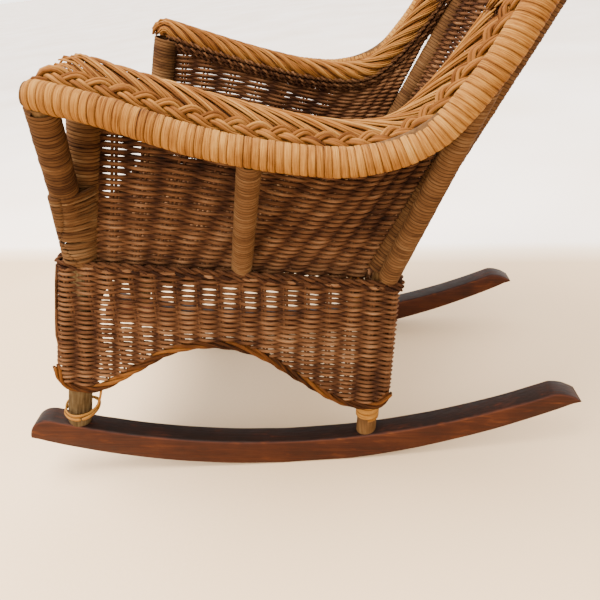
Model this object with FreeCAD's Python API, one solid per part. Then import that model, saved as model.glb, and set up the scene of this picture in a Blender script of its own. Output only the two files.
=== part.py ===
"""Miniature wicker rocking chair, built up as the real one is: wooden rockers,
bent cane poles nailed into a frame, and woven reed worked over the frame.

Millimetres. +Z is up, the chair faces -Y, and +X is the sitter's left.
The pieces are drawn with the rear legs upright. At the end the whole chair is leaned
back onto the worn flat of its rockers, with the floor at Z = 0 and the origin under
its middle.
"""
import FreeCAD
import Part
import math
import os

V = FreeCAD.Vector

# --- driving dimensions -------------------------------------------------
ROCKER_LENGTH = 360.0
ROCKER_GAUGE = 157.6          # centre to centre
ROCKER_THICKNESS = 15.0
ROCKER_CURVE = 451.9          # radius of the underside
ROCKER_CURVE_Y = -47.2        # the underside's lowest point while the rear legs are upright
LEAN_BACK = 6.5               # degrees that the chair settles back from there
FLAT_AHEAD = 12.0             # the worn flat that it settles on, either side of the lowest point
FLAT_BEHIND = 34.0
TENON_RADIUS = 4.0
TENON_LENGTH = 11.0

SEAT_HEIGHT = 150.0           # top of the seat at SEAT_Y
SEAT_Y = -30.0
SEAT_SLOPE = math.tan(math.radians(3.4))
SEAT_THICKNESS = 4.0
SEAT_CLEARANCE = 6.0          # what the open face of the seat keeps off the leaning posts
RAIL_RADIUS = 4.5

FRONT_POST_RADIUS = 7.5
BACK_POST_RADIUS = 6.4
RIM_RADIUS = 5.2
OUTER_POST_RADIUS = 6.0
PROP_RADIUS = 4.7
BOW_RADIUS = 5.0
BINDING = 1.0                 # thickness of the wound cane strip
ROOM = 1.15                   # what a neighbour keeps off a pole: the strip and a little air

WEAVE = 3.2                   # thickness of a woven wall
SKIRT_X = 86.6                # inner face of the side skirts
BORDER_RADIUS = 2.8
PLAIT_RADIUS = 3.8
ROLL_HALF_WIDTH = 13.0
ROLL_HALF_HEIGHT = 5.5
NAIL_RADIUS = 0.9

# The arm's top and the back's edge are one band. Each station pairs a point on the
# rim pole with a point on the roll at the band's inner edge, from the front of the
# left arm, along the arm and up the back, to the middle of the back's top.
RIM = [
    V(122, -111, 252), V(124, -82, 246), V(125, -40, 233.3), V(125, 0, 226.2), V(125, 32, 225.6),
    V(124, 60, 235.6), V(121.5, 80, 258), V(118, 95.5, 284), V(111, 111, 314), V(98, 126, 345),
    V(77, 138, 373), V(42, 147, 394), V(0, 150, 402),
]
ROLL = [
    V(88, -98.5, 256), V(88, -72, 248), V(88, -36, 238), V(88, 0, 230), V(88, 30, 226.8),
    V(87, 53, 231.5), V(84, 74, 252), V(81, 92, 278), V(76.5, 108, 307), V(66, 119.5, 332),
    V(49, 129, 351), V(24, 135, 363), V(0, 137, 368),
]
ARM_END = 7                   # station where the arm's pieces meet the back's

FRONT_POST_FOOT = V(78.8, -144, 42)
FRONT_POST_HEAD = V(84.7, -100.0, 245.5)
REAR_LEG = V(78.8, 47.5, 0)

SIDES = (("left", False), ("right", True))
parts = {}


# --- geometry helpers ---------------------------------------------------
def seat_top(y):
    """Height of the seat's top, which falls towards the back."""
    return SEAT_HEIGHT - SEAT_SLOPE * (y - SEAT_Y)


def unit(vector):
    return vector * (1.0 / vector.Length)


def mirrored(shape):
    return shape.mirror(V(0, 0, 0), V(1, 0, 0))


def mirror_point(point):
    return V(-point.x, point.y, point.z)


def both_sides(points):
    """A path from the left side over the middle to the right side."""
    return points + [mirror_point(p) for p in reversed(points[:-1])]


def rounded_edges(points):
    """Straight runs through the points, joined by tangent arcs."""
    edges = []
    start = points[0]
    for before, corner, after in zip(points, points[1:], points[2:]):
        inward = unit(before - corner)
        onward = unit(after - corner)
        reach = 0.45 * min((before - corner).Length, (after - corner).Length)
        half_turn = (math.pi - inward.getAngle(onward)) / 2
        radius = reach / math.tan(half_turn)
        middle = corner + unit(inward + onward) * (radius / math.cos(half_turn) - radius)
        arc_start = corner + inward * reach
        arc_end = corner + onward * reach
        edges.append(Part.LineSegment(start, arc_start).toShape())
        edges.append(Part.Arc(arc_start, middle, arc_end).toShape())
        start = arc_end
    edges.append(Part.LineSegment(start, points[-1]).toShape())
    return edges


def pole(points, radius):
    """A round pole bent through the points."""
    if len(points) == 2:
        run = points[1] - points[0]
        return Part.makeCylinder(radius, run.Length, points[0], run)
    path = Part.Wire(rounded_edges(points))
    ring = Part.Wire(Part.Circle(points[0], points[1] - points[0], radius).toShape())
    return path.makePipeShell([ring], True, False)


def started_lower(points):
    """The path with its first run drawn out backwards by a quarter."""
    return [points[0] + (points[0] - points[1]) * 0.25] + points[1:]


def binding(points, pole_radius):
    """The sleeve that a strip of cane makes when it is wound along a pole."""
    return pole(points, pole_radius + BINDING).cut(pole(points, pole_radius))


def joined(*shapes):
    whole = shapes[0]
    for shape in shapes[1:]:
        whole = whole.fuse(shape)
    return whole.removeSplitter()


def trimmed(shape, *neighbours):
    """The shape without the room that its neighbours take up."""
    near = [n for n in neighbours if n.BoundBox.intersect(shape.BoundBox)]
    rest = shape.cut(near) if near else shape
    return max(rest.Solids, key=lambda solid: solid.Volume)


def closed_solid(points, triangles):
    """A solid bounded by flat triangles."""
    skin = Part.Shape()
    skin.makeShapeFromMesh(([tuple(p) for p in points], triangles), 0.001)
    solid = Part.Solid(Part.Shell(skin.Faces))
    if solid.Volume < 0:
        solid.reverse()
    return solid


def bar_through(sections):
    """A bar whose cross-sections are rings with equal numbers of points."""
    count = len(sections[0])
    points = [p for ring in sections for p in ring]
    triangles = []
    for row in range(len(sections) - 1):
        for k in range(count):
            a = row * count + k
            b = row * count + (k + 1) % count
            triangles.append((a, b, b + count))
            triangles.append((a, b + count, a + count))
    last = (len(sections) - 1) * count
    for k in range(count // 2 - 1):
        near, far = count - 1 - k, count - 2 - k
        triangles.append((k, near, far))
        triangles.append((k, far, k + 1))
        triangles.append((last + k, last + far, last + near))
        triangles.append((last + k, last + k + 1, last + far))
    return closed_solid(points, triangles)


def sheet_between(front, back):
    """A sheet between two grids of points, each a list of rows."""
    rings = [row + list(reversed(behind)) for row, behind in zip(front, back)]
    return bar_through(rings)


def plate(edges, thickness):
    """A flat plate from a closed outline."""
    return Part.Face(Part.Wire(edges)).extrude(thickness)


def add(name, shape):
    parts[name] = shape


def add_pair(name, shape):
    """The left piece and its mirror image on the right."""
    for side, is_mirrored in SIDES:
        add(side + "_" + name, mirrored(shape) if is_mirrored else shape)


# --- the band along the arms and round the back -------------------------
def band_frames():
    """Per station: roll point, width of the band, direction outwards, direction up."""
    rim = both_sides(RIM)
    roll = both_sides(ROLL)
    frames = []
    for i in range(len(roll)):
        along = unit(roll[min(i + 1, len(roll) - 1)] - roll[max(i - 1, 0)])
        across = rim[i] - roll[i]
        outward = unit(across)
        upward = unit(outward.cross(along))
        frames.append((roll[i], across.Length, outward, upward))
    return frames


FRAMES = band_frames()
ARM = range(0, ARM_END + 1)
BACK = range(ARM_END, len(FRAMES) - ARM_END)


def band_point(station, out, up):
    base, _, outward, upward = FRAMES[station]
    return base + outward * out + upward * up


def roll_section(station):
    """The thick wavy braid: a flattened octagon."""
    shape = [(-1, -0.4), (-0.6, -1), (0.6, -1), (1, -0.4), (1, 0.4), (0.6, 1), (-0.6, 1), (-1, 0.4)]
    centre = ROLL_HALF_WIDTH - 8.0
    return [band_point(station, centre + ROLL_HALF_WIDTH * a, ROLL_HALF_HEIGHT * b) for a, b in shape]


def plait_section(station):
    """The narrow plait beside the roll: a hexagon."""
    turns = [math.radians(60 * k) for k in range(6)]
    return [
        band_point(station, 24.4 + PLAIT_RADIUS * math.cos(t), 1.5 + PLAIT_RADIUS * math.sin(t))
        for t in reversed(turns)
    ]


def underlay_section(station):
    """The weave that curls outwards under the roll and the plait."""
    width = FRAMES[station][1]
    low = -ROLL_HALF_HEIGHT - 0.3 - 2.4
    high = -ROLL_HALF_HEIGHT - 0.3
    corners = [(-4, low), (width - 4.5, low), (width - 4.5, high), (-4, high)]
    return [band_point(station, out, up) for out, up in corners]


def split_run(points, index):
    """The middle of the straight run after points[index], where two poles butt."""
    return (points[index] + points[index + 1]) * 0.5


rim_joint = split_run(RIM, ARM_END)
arm_rim_path = RIM[:ARM_END + 1] + [rim_joint]
back_rim_path = both_sides([rim_joint] + RIM[ARM_END + 1:])

# --- rockers ------------------------------------------------------------
half_length = ROCKER_LENGTH / 2
curve_lean = math.radians(LEAN_BACK)


def underside(y):
    """Height of the rocker's curved underside."""
    return ROCKER_CURVE - math.sqrt(ROCKER_CURVE ** 2 - (y - ROCKER_CURVE_Y) ** 2)


def on_flat(x, behind):
    """A point on the worn flat, so far behind the lowest point once the chair has leaned back."""
    depth = ROCKER_CURVE * math.cos(FLAT_AHEAD / ROCKER_CURVE)
    y = ROCKER_CURVE_Y + depth * math.sin(curve_lean) + behind * math.cos(curve_lean)
    z = ROCKER_CURVE - depth * math.cos(curve_lean) + behind * math.sin(curve_lean)
    return V(x, y, z)


def rocker_blank():
    inner_x = (ROCKER_GAUGE - ROCKER_THICKNESS) / 2

    def at(y, z):
        return V(inner_x, y, z)

    front_low = at(-half_length + 1.0, underside(-half_length + 1.0))
    rear_low = at(half_length, underside(half_length))
    front_high = at(-163, 35.6)
    rear_high = at(162, 66.6)
    flat_start = on_flat(inner_x, -FLAT_AHEAD)
    flat_end = on_flat(inner_x, FLAT_BEHIND)
    edges = [
        Part.Arc(front_low, at(ROCKER_CURVE_Y, 0), flat_start).toShape(),
        Part.LineSegment(flat_start, flat_end).toShape(),
        Part.Arc(flat_end, at(112, underside(112)), rear_low).toShape(),
        Part.Arc(rear_low, at(173.5, 65.2), rear_high).toShape(),
        Part.Arc(rear_high, at(-30, 20.4), front_high).toShape(),
        Part.Arc(front_high, at(-175.8, 30.5), front_low).toShape(),
    ]
    return plate(edges, V(ROCKER_THICKNESS, 0, 0))


def tenon(shoulder, axis):
    """The peg on a leg's foot, from its shoulder down into the rocker."""
    return Part.makeCylinder(TENON_RADIUS, TENON_LENGTH, shoulder - axis * TENON_LENGTH, axis)


rocker = rocker_blank()
front_axis = unit(FRONT_POST_HEAD - FRONT_POST_FOOT)
front_leg_base = FRONT_POST_FOOT - front_axis * 12
rear_leg_base = REAR_LEG + V(0, 0, 24)

front_tenon = tenon(FRONT_POST_FOOT - front_axis * 8, front_axis)
rear_tenon = tenon(REAR_LEG + V(0, 0, 33), V(0, 0, 1))

# --- frame poles --------------------------------------------------------
front_post = joined(trimmed(pole([front_leg_base, FRONT_POST_HEAD], FRONT_POST_RADIUS), rocker), front_tenon)

bow_path = [band_point(i, 0, -15) for i in range(8, 13)]
bow_joint = split_run(bow_path, 0)
back_post_path = [rear_leg_base, REAR_LEG + V(0, 0, 130), V(79.0, 55.5, 163), bow_path[0], bow_joint]
back_post = joined(trimmed(pole(back_post_path, BACK_POST_RADIUS), rocker), rear_tenon)
back_bow = pole(both_sides([bow_joint] + bow_path[1:]), BOW_RADIUS)

arm_rim = pole(arm_rim_path, RIM_RADIUS)
back_rim = pole(back_rim_path, RIM_RADIUS)
arm_rim_full = pole(arm_rim_path, RIM_RADIUS + ROOM)

outer_post_path = [V(84.5, -119.5, 172), V(121.8, -105.5, 248)]
outer_post_full = pole(outer_post_path, OUTER_POST_RADIUS + ROOM)
front_post_full = pole([FRONT_POST_FOOT, FRONT_POST_HEAD], FRONT_POST_RADIUS + ROOM)
back_post_full = pole(back_post_path, BACK_POST_RADIUS + ROOM)

middle_prop_path = [V(82.8, -30, 148), V(123.5, -17.5, 226)]
rear_prop_path = [V(86.5, 52, 147), V(120.5, 82.5, 259)]

middle_prop_full = pole(middle_prop_path, PROP_RADIUS + ROOM)
rear_prop_full = pole(rear_prop_path, PROP_RADIUS + ROOM)

# --- seat frame ---------------------------------------------------------
RAIL_DROP = SEAT_THICKNESS + RAIL_RADIUS
front_rail_end = V(81.4, -120.5, seat_top(-120.5) - RAIL_DROP)
rear_rail_end = V(78.8, 48.6, seat_top(48.6) - RAIL_DROP)
front_rail = pole([mirror_point(front_rail_end), front_rail_end], RAIL_RADIUS)
rear_rail = pole([mirror_point(rear_rail_end), rear_rail_end], RAIL_RADIUS)
side_rail = pole([front_rail_end, rear_rail_end], RAIL_RADIUS)


def seat_weave():
    """The seat's woven surface, which narrows towards the back between the side weaves."""
    front_half_width, front = 81.0, -127.0
    rear_half_width, rear = 77.0, 45.5
    left = [V(front_half_width, front, seat_top(front)), V(rear_half_width, rear, seat_top(rear))]
    ring = left + [mirror_point(p) for p in reversed(left)]
    edges = [Part.LineSegment(a, b).toShape() for a, b in zip(ring, ring[1:] + ring[:1])]
    return plate(edges, V(0, 0, -SEAT_THICKNESS))


# --- woven walls above the seat -----------------------------------------
SIDE_FRONT = V(84.5, -115, 0)
SIDE_REAR = V(80.5, 38.5, 0)
SIDE_STATIONS = range(0, ARM_END + 1)


def wall_foot(share):
    """A point along the foot of the side weave, from the front post to the back post."""
    foot = SIDE_FRONT + (SIDE_REAR - SIDE_FRONT) * share
    return V(foot.x, foot.y, seat_top(foot.y) - 2.0)


def side_weave():
    outer, inner = [], []
    for station in SIDE_STATIONS:
        foot = wall_foot(station / SIDE_STATIONS[-1])
        head = band_point(station, 0.5, -ROLL_HALF_HEIGHT - 3.0)
        outer.append([foot, head])
        inner.append([p - V(WEAVE, 0, 0) for p in outer[-1]])
    return sheet_between(outer, inner)


BACK_COLUMNS = 8
BACK_BOW = 19.0               # how far the middle of the back bulges rearwards


def back_rows():
    """Left-hand ends of the rows of the back weave, and each row's bulge."""
    foot = V(76.5, 47.5, seat_top(47.5) - 3.0)
    head = band_point(8, -3, -9.5)
    rows = [(foot + (head - foot) * share, BACK_BOW * min(1.0, 0.15 + 1.4 * share)) for share in (0, 0.2, 0.4, 0.6, 0.8)]
    rows += [(band_point(i, -3, -9.5), bulge) for i, bulge in ((8, 19), (9, 17), (10, 12), (11, 6))]
    return rows


def back_weave():
    front, back = [], []
    for end, bulge in back_rows():
        row = []
        for k in range(BACK_COLUMNS + 1):
            share = 1 - 2 * k / BACK_COLUMNS
            row.append(V(end.x * share, end.y + bulge * (1 - share * share), end.z))
        front.append(row)
        back.append([p + V(0, WEAVE, 0) for p in row])
    return sheet_between(front, back)


# --- woven walls below the seat -----------------------------------------
SKIRT_OUTER_X = SKIRT_X + WEAVE
BORDER_X = SKIRT_X + WEAVE / 2 + 0.6
SIDE_ARCH = [
    (-147.5, 84), (-143, 69.5), (-124, 67.5), (-98, 83), (-74, 97.5), (-48, 102.5), (-22, 96.5),
    (4, 78), (28, 61.5), (50, 57.5), (59.5, 68),
]
FRONT_ARCH = [(-84, 70), (-64, 71), (-34, 88), (0, 96), (34, 88), (64, 71), (84, 70)]
REAR_ARCH = [(-84, 60), (-64, 61), (-34, 79), (0, 87), (34, 79), (64, 61), (84, 60)]
FRONT_LEAN = 0.174            # the front skirt leans back by this much per unit of height
FRONT_FOOT = V(0, -146.6, 77)
REAR_SKIRT_Y = 56.0


def closing_edges(points):
    return [Part.LineSegment(a, b).toShape() for a, b in zip(points, points[1:])]


def side_arch(x):
    return [V(x, y, z) for y, z in SIDE_ARCH]


def front_arch(forward=0.0):
    return [V(x, FRONT_FOOT.y - forward + (z - FRONT_FOOT.z) * FRONT_LEAN, z) for x, z in FRONT_ARCH]


def rear_arch(y):
    return [V(x, y, z) for x, z in REAR_ARCH]


def side_skirt():
    arch = side_arch(SKIRT_X)
    top_front = V(SKIRT_X, -132.5, seat_top(-132) - 3.2)
    top_rear = V(SKIRT_X, 59.0, seat_top(59) - 3.2)
    outline = rounded_edges(arch) + closing_edges([arch[-1], top_rear, top_front, arch[0]])
    return plate(outline, V(WEAVE, 0, 0))


def front_skirt():
    arch = front_arch()
    top = seat_top(-132) - 3.2
    top_y = FRONT_FOOT.y + (top - FRONT_FOOT.z) * FRONT_LEAN
    edge = SKIRT_X - 0.4
    sides = [V(edge, arch[-1].y, arch[-1].z), V(edge, top_y, top), V(-edge, top_y, top), V(-edge, arch[0].y, arch[0].z)]
    outline = rounded_edges(arch) + closing_edges([arch[-1]] + sides + [arch[0]])
    return plate(outline, V(0, WEAVE, 0))


def rear_skirt():
    arch = rear_arch(REAR_SKIRT_Y)
    top = seat_top(58) - 3.2
    edge = SKIRT_X - 0.4
    sides = [V(edge, REAR_SKIRT_Y, arch[-1].z), V(edge, REAR_SKIRT_Y, top)]
    sides += [mirror_point(p) for p in reversed(sides)]
    outline = rounded_edges(arch) + closing_edges([arch[-1]] + sides + [arch[0]])
    return plate(outline, V(0, WEAVE, 0))


TWIST_RADIUS = 2.6
TWIST_X = SKIRT_OUTER_X - 1.0


def seat_twist(start, end):
    """A twisted rod laid along one side of the seat, over the top of the skirt."""
    lift = V(0, 0, TWIST_RADIUS - 2.8)
    return pole([start + lift, end + lift], TWIST_RADIUS)


# --- fastenings ---------------------------------------------------------
def rocker_nail(x, y):
    """A nail driven up through the rocker into a leg."""
    head = Part.makeCylinder(2.2, 1.0, V(x, y, underside(y) + 2.0))
    shank = Part.makeCylinder(NAIL_RADIUS, 25, V(x, y, underside(y) + 2.0))
    return joined(head, shank)


def nail_hole(x, y):
    """The sunk hole below a rocker nail's head."""
    return Part.makeCylinder(2.2, 12.0, V(x, y, underside(y) - 9.0))


def frame_nail(corner, direction):
    """A nail through a post into the end of a seat rail."""
    return Part.makeCylinder(0.8, 17, corner + direction * 6, direction * -1)


def loose_ring():
    """Two loose turns of cane strip lying round the front leg, with a tail."""
    foot = FRONT_POST_FOOT
    turns = []
    for lift, tilt, radius in ((0.0, 7, 11.6), (3.1, -5, 10.8)):
        ring = Part.makeCylinder(radius, 2.6).cut(Part.makeCylinder(radius - 1.1, 2.6))
        ring.rotate(V(0, 0, 0), V(1, 0, 0), tilt)
        ring.translate(V(foot.x, foot.y + 1.5, foot.z + lift))
        turns.append(ring)
    tail_path = [foot + p for p in (V(2, 13, 3), V(4, 16.5, 12), V(5, 21, 26))]
    return joined(turns[0], turns[1], pole(tail_path, 1.2))


# --- put the frame together ---------------------------------------------
rocker_nails = [rocker_nail(78.8, FRONT_POST_FOOT.y - 2.4), rocker_nail(REAR_LEG.x, REAR_LEG.y)]
holes = [nail_hole(78.8, FRONT_POST_FOOT.y - 2.4), nail_hole(REAR_LEG.x, REAR_LEG.y)]
frame_nails = [
    frame_nail(front_rail_end, V(1, 0, 0)),
    frame_nail(front_rail_end + V(0, 0, 2), V(0, -1, 0)),
    frame_nail(rear_rail_end, V(1, 0, 0)),
    frame_nail(rear_rail_end + V(0, 0, 2), V(0, 1, 0)),
]
sleeves = [front_post_full, back_post_full]

front_post = trimmed(front_post, *rocker_nails, *frame_nails)
back_post = trimmed(back_post, *rocker_nails, *frame_nails)
add_pair("rocker", trimmed(rocker, front_post, back_post, *rocker_nails, *holes))
add_pair("front_post", front_post)
add_pair("back_post", back_post)
add("back_bow", back_bow)
add_pair("arm_rim_pole", arm_rim)
add("back_rim_pole", back_rim)
add_pair("outer_front_post", trimmed(pole(outer_post_path, OUTER_POST_RADIUS), arm_rim_full, front_post_full))
add_pair("middle_prop", trimmed(pole(middle_prop_path, PROP_RADIUS), arm_rim_full, side_rail))
add_pair("rear_prop", trimmed(pole(rear_prop_path, PROP_RADIUS), arm_rim_full, side_rail, back_post_full))
add("front_seat_rail", trimmed(front_rail, front_post, mirrored(front_post), *frame_nails, *map(mirrored, frame_nails)))
add("rear_seat_rail", trimmed(rear_rail, back_post, mirrored(back_post), *frame_nails, *map(mirrored, frame_nails)))
add_pair("side_seat_rail", trimmed(side_rail, front_post, back_post, *frame_nails))

# --- wound cane ---------------------------------------------------------
outer_sleeve = trimmed(binding(outer_post_path, OUTER_POST_RADIUS), arm_rim_full, front_post_full)
middle_sleeve = trimmed(binding(middle_prop_path, PROP_RADIUS), arm_rim_full, side_rail)
rear_sleeve = trimmed(binding(rear_prop_path, PROP_RADIUS), arm_rim_full, side_rail, back_post_full)
above_seat = [FRONT_POST_FOOT + (FRONT_POST_HEAD - FRONT_POST_FOOT) * 0.56, FRONT_POST_HEAD]
above_twist = Part.makeBox(400, 400, 300, V(-200, -100, 150))
cuff_path = [REAR_LEG + V(0, 0, 40), REAR_LEG + V(0, 0, 74)]
front_sleeve = trimmed(binding(above_seat, FRONT_POST_RADIUS), *frame_nails)
add_pair("arm_rim_binding", binding(arm_rim_path, RIM_RADIUS))
add("back_rim_binding", binding(back_rim_path, RIM_RADIUS))
add_pair("front_post_binding", front_sleeve)
add_pair("outer_post_binding", outer_sleeve)
add_pair("back_post_binding", binding(back_post_path, BACK_POST_RADIUS).common(above_twist))
add_pair("rear_leg_cuff", binding(cuff_path, BACK_POST_RADIUS))
prop_sleeves = [middle_sleeve, rear_sleeve]
add("prop_bindings", Part.makeCompound(prop_sleeves + [mirrored(s) for s in prop_sleeves]))

# --- woven reed ---------------------------------------------------------
props = [middle_prop_full, rear_prop_full, outer_post_full]
arm_roll = bar_through([roll_section(i) for i in ARM])
arm_plait = bar_through([plait_section(i) for i in ARM])
arm_underlay = bar_through([underlay_section(i) for i in ARM])
add_pair("arm_roll", arm_roll)
add("back_roll", bar_through([roll_section(i) for i in BACK]))
add_pair("arm_plait", arm_plait)
add("back_plait", bar_through([plait_section(i) for i in BACK]))
add_pair("arm_underlay", trimmed(arm_underlay, arm_rim_full, *props, front_post_full))
back_underlay = bar_through([underlay_section(i) for i in BACK])
back_underlay = trimmed(back_underlay, back_post_full, mirrored(back_post_full), back_bow)
add("back_underlay", trimmed(back_underlay, parts["back_roll"]))

side_wall = trimmed(side_weave(), *sleeves, *props, side_rail)
add_pair("side_weave", side_wall)
back_wall = trimmed(back_weave(), back_post_full, mirrored(back_post_full), back_bow, parts["rear_seat_rail"])
add("back_weave", trimmed(back_wall, side_wall, mirrored(side_wall)))
clear_of_seat = [
    pole([FRONT_POST_FOOT, FRONT_POST_HEAD], FRONT_POST_RADIUS + SEAT_CLEARANCE),
    pole(back_post_path, BACK_POST_RADIUS + SEAT_CLEARANCE),
    pole(started_lower(middle_prop_path), PROP_RADIUS + SEAT_CLEARANCE),
]
add("seat_weave", trimmed(seat_weave(), *clear_of_seat, *map(mirrored, clear_of_seat), side_wall, mirrored(side_wall)))

side_border = pole(side_arch(BORDER_X), BORDER_RADIUS)
front_border = pole(front_arch(-WEAVE / 2), BORDER_RADIUS)
rear_border = pole(rear_arch(REAR_SKIRT_Y + WEAVE / 2), BORDER_RADIUS)
side_border = trimmed(side_border, front_post, parts["left_rear_leg_cuff"])
add_pair("side_skirt_border", side_border)
add("front_skirt_border", trimmed(front_border, side_border, mirrored(side_border), front_post, mirrored(front_post)))
add("rear_skirt_border", trimmed(rear_border, side_border, mirrored(side_border)))
add_pair("side_skirt", trimmed(side_skirt(), side_border, front_post, *props, *frame_nails))
front_wall = trimmed(front_skirt(), front_border, side_border, mirrored(side_border))
add("front_skirt", trimmed(front_wall, front_post_full, mirrored(front_post_full)))
rear_wall = trimmed(rear_skirt(), rear_border, side_border, mirrored(side_border))
add("rear_skirt", trimmed(rear_wall, back_post_full, mirrored(back_post_full)))

front_corner = V(TWIST_X, -131.5, seat_top(-131.5))
rear_corner = V(TWIST_X, 60.2, seat_top(60.2))
side_twist = trimmed(seat_twist(front_corner, rear_corner), *props, *sleeves)
front_twist = trimmed(seat_twist(mirror_point(front_corner), front_corner), side_twist, mirrored(side_twist))
rear_twist = trimmed(seat_twist(mirror_point(rear_corner), rear_corner), side_twist, mirrored(side_twist))
add("seat_edge_twists", Part.makeCompound([side_twist, mirrored(side_twist), front_twist, rear_twist]))
add("loose_cane_ring", loose_ring())

both_nails = rocker_nails + [mirrored(n) for n in rocker_nails]
add("rocker_nails", Part.makeCompound(both_nails))
add("frame_nails", Part.makeCompound(frame_nails + [mirrored(n) for n in frame_nails]))

# --- lean the chair back onto the flat, centre it and write each piece ---
whole = Part.makeCompound(list(parts.values()))
whole.rotate(V(0, 0, 0), V(1, 0, 0), -LEAN_BACK)
extent = whole.optimalBoundingBox(False)
shift = V(0, -extent.Center.y, -extent.ZMin)
os.makedirs("parts", exist_ok=True)
for name, shape in parts.items():
    shape.rotate(V(0, 0, 0), V(1, 0, 0), -LEAN_BACK)
    shape.translate(shift)
    if not shape.isValid() or shape.Volume <= 0:
        print("check", name, "valid", shape.isValid(), "volume", round(shape.Volume, 1))
    shape.exportStep("parts/" + name + ".step")
print(len(parts), "pieces, shifted by", tuple(round(v, 3) for v in shift))
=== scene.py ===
"""The looks of the miniature wicker rocking chair: every rod of the weave, the wound
cane, the braid, and aged wooden rockers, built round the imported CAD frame.

Shapes are worked out in millimetres in the frame that the CAD source draws in, where
the rear legs stand upright. place() leans them back with the CAD parts, into metres.
"""
import math

import bpy
import numpy as np
from mathutils import Matrix


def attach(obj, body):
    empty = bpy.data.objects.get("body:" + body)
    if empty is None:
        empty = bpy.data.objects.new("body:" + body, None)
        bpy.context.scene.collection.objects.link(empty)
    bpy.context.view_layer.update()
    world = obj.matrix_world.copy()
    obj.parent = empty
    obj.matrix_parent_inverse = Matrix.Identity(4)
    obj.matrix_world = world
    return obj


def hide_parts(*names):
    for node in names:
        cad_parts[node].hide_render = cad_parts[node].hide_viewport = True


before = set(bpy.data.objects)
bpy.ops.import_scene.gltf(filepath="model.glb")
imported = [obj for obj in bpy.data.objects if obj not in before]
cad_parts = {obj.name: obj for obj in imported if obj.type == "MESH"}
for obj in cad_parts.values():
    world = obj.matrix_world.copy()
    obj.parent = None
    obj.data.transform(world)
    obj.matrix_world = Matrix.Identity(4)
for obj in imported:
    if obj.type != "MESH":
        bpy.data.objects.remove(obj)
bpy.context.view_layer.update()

# --- driving dimensions, in millimetres ---
LEAN_BACK = math.radians(6.5)
SHIFT = np.array([0.0, -12.117, -2.598])   # centres the leaned chair and sets it on the floor

RIM = [
    (122, -111, 252), (124, -82, 246), (125, -40, 233.3), (125, 0, 226.2), (125, 32, 225.6),
    (124, 60, 235.6), (121.5, 80, 258), (118, 95.5, 284), (111, 111, 314), (98, 126, 345),
    (77, 138, 373), (42, 147, 394), (0, 150, 402),
]
ROLL = [
    (88, -98.5, 256), (88, -72, 248), (88, -36, 238), (88, 0, 230), (88, 30, 226.8),
    (87, 53, 231.5), (84, 74, 252), (81, 92, 278), (76.5, 108, 307), (66, 119.5, 332),
    (49, 129, 351), (24, 135, 363), (0, 137, 368),
]
ARM_END = 7    # station where the arm's pieces meet the back's
BACK_END = 2 * (len(RIM) - 1) - ARM_END

ROCKER_CENTRE_X = 78.8
ROCKER_THICKNESS = 15.0
ROCKER_CURVE = 451.9
ROCKER_CURVE_Y = -47.2
FLAT_AHEAD = 12.0
FLAT_BEHIND = 34.0
ROCKER_FRONT = -179.0
ROCKER_REAR = 180.0

FRONT_POST_FOOT = np.array([78.8, -144, 42.0])
FRONT_POST_HEAD = np.array([84.7, -100.0, 245.5])
REAR_LEG = np.array([78.8, 47.5, 0.0])
BACK_BEND = (79.0, 55.5, 165)  # where a back post starts to lean back, just above the seat
OUTER_POST = [(84.5, -119.5, 172), (121.8, -105.5, 248)]
MIDDLE_PROP = [(82.8, -30, 148), (123.5, -17.5, 226)]
REAR_PROP = [(86.5, 52, 147), (120.5, 82.5, 259)]

POSTS_MERGE = (158.0, 200.0)  # heights between which one winding takes in both front posts
POSTS_MERGE_PITCH = 1.95

SEAT_HEIGHT = 150.0
SEAT_Y = -30.0
SEAT_SLOPE = math.tan(math.radians(3.4))
WALL_FRONT = (84.5, -115.0)   # x and y of the side walls' outer faces at the seat
WALL_REAR = (80.5, 38.5)
BACK_FOOT = (76.5, 47.5)
SEAT_FRONT = -126.0    # where the seat's rows start
SEAT_LENGTH = 172.0
SEAT_HALF_WIDTH = 81.5
SEAT_WAIST = -108.0    # in front of this the posts leave the seat narrower
SKIRT_MIDDLE_X = 88.2
SKIRT_HALF_WIDTH = 86.5
SKIRT_FRONT = -147.5
SKIRT_REAR = 59.5
SKIRT_FRONT_SLOPE = 0.217     # how the side skirts' front edge leans back as it rises
SIDE_ARCH = [
    (-147.5, 84), (-143, 69.5), (-124, 67.5), (-98, 83), (-74, 97.5), (-48, 102.5), (-22, 96.5),
    (4, 78), (28, 61.5), (50, 57.5), (59.5, 68),
]
FRONT_ARCH = [(-84, 70), (-64, 71), (-34, 88), (0, 96), (34, 88), (64, 71), (84, 70)]
REAR_ARCH = [(-84, 60), (-64, 61), (-34, 79), (0, 87), (34, 79), (64, 61), (84, 60)]
FRONT_LEAN = 0.174
FRONT_FOOT_Y = -146.6
FRONT_FOOT_Z = 77.0
REAR_SKIRT_Y = 57.6

STAKE_PITCH = 12.4    # between the upright pairs that the rows are woven on
STAKE_RADIUS = 0.9
TWIN = 0.9    # how far each stake of a pair stands from the pair's middle
ROW_PITCH = 1.65
REED_RADIUS = 1.0
WAVE = 1.5    # how far a row swings to either side of its stakes
SKIRT_REED_RADIUS = 1.1    # the skirts are packed closer
STEP = 1.9    # between the points of a woven row


# --- curves and frames ---
def seat_top(y):
    return SEAT_HEIGHT - SEAT_SLOPE * (y - SEAT_Y)


def turned(vectors):
    """Directions in the drawing frame, leaned back with the chair."""
    v = np.asarray(vectors, float)
    c, s = math.cos(LEAN_BACK), math.sin(LEAN_BACK)
    x, y, z = v[..., 0], v[..., 1], v[..., 2]
    return joined(x, y * c + z * s, z * c - y * s)


def place(points):
    """Drawing-frame millimetres to metres in the CAD frame."""
    return (turned(points) + SHIFT) * 0.001


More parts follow.
